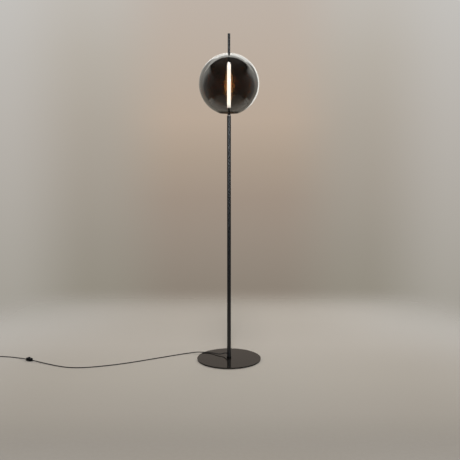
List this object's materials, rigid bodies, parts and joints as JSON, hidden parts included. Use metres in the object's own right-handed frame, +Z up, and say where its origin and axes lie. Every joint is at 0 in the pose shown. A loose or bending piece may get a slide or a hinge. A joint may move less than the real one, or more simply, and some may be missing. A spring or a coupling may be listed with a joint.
{
  "type": "globe floor lamp",
  "caption": "Floor lamp: round base plate, slim sectional pole, smoked glass globe round an upright light tube, rod above, lead with in-line push switch and plug.",
  "frame": {"origin": "centre of the base's underside, on the floor", "axes": "+Z up along the pole; the lamp is seen from -Y, and +X is then to the right"},
  "size_m": [1.5055, 0.33, 1.65],
  "materials": {
    "plate_lacquer": "semi-gloss dark bronze lacquer, mirror-like at a low angle",
    "pole_lacquer": "semi-gloss black lacquer",
    "black_steel": "black oxide",
    "turned_steel": "plain turned",
    "zinc_screw": "zinc plated",
    "pad_rubber": "matt",
    "spacer_plastic": "milky clear",
    "opal_tube": "satin opal, lit from inside",
    "cap_plastic": "opal",
    "heat_aluminium": "extruded",
    "strip_board": "white flexible board with diodes",
    "smoked_glass": "smoked, half mirrored, polished",
    "clear_washer": "clear",
    "driver_board": "circuit board",
    "driver_sleeve": "shrink sleeve",
    "wire_sheath": "insulated wire",
    "cord_black": "fine textile-like matt sheath",
    "relief_rubber": "moulded, matt",
    "switch_shell": "fine spark-eroded texture",
    "switch_button": "polished",
    "spring_steel": "bright spring wire",
    "plug_plastic": "moulded, fine texture",
    "pin_metal": "nickel plated",
    "pin_sleeve": "insulating sleeve"
  },
  "bodies": {
    "lamp": {"base_pad": "pad_rubber", "base_plate": "plate_lacquer", "base_screw": "zinc_screw", "pole_foot": "pole_lacquer", "pole_section_lower": "pole_lacquer", "pole_section_middle": "pole_lacquer", "pole_section_upper": "pole_lacquer", "pole_couplers": "turned_steel", "pole_sockets": "turned_steel", "top_insert": "turned_steel", "outlet_relief": "relief_rubber", "feed_lead": "cord_black", "driver_sleeve": "driver_sleeve", "driver_board": "driver_board", "output_wires": "wire_sheath", "spacer_ring": "spacer_plastic", "lock_nut": "black_steel", "core_tube": "black_steel", "tube_lower_cap": "cap_plastic", "tube_upper_cap": "cap_plastic", "heat_bar": "heat_aluminium", "light_strips": "strip_board", "light_tube": "opal_tube", "hanger_nut": "black_steel", "globe_washer": "clear_washer", "glass_globe": "smoked_glass", "finial_rod": "pole_lacquer", "switch_base": "switch_shell", "switch_cover": "switch_shell", "switch_spring": "spring_steel", "switch_board": "driver_board", "switch_screws": "zinc_screw", "switch_bushings": "relief_rubber", "switch_cores": "wire_sheath", "cord_lamp_side": "cord_black", "cord_plug_side": "cord_black", "cord_coil": "cord_black", "plug_relief": "relief_rubber", "plug_body": "plug_plastic", "plug_pins": "pin_metal", "plug_pin_sleeves": "pin_sleeve"},
    "button": {"switch_button": "switch_button"}
  },
  "joints": [
    {"name": "button_press", "type": "slide", "parent": "lamp", "child": "button", "axis": [0, 0, -1], "range_m": [0, 0.0015], "stiffness_N_per_m": 900, "deforming": ["switch_spring"]}
  ]
}
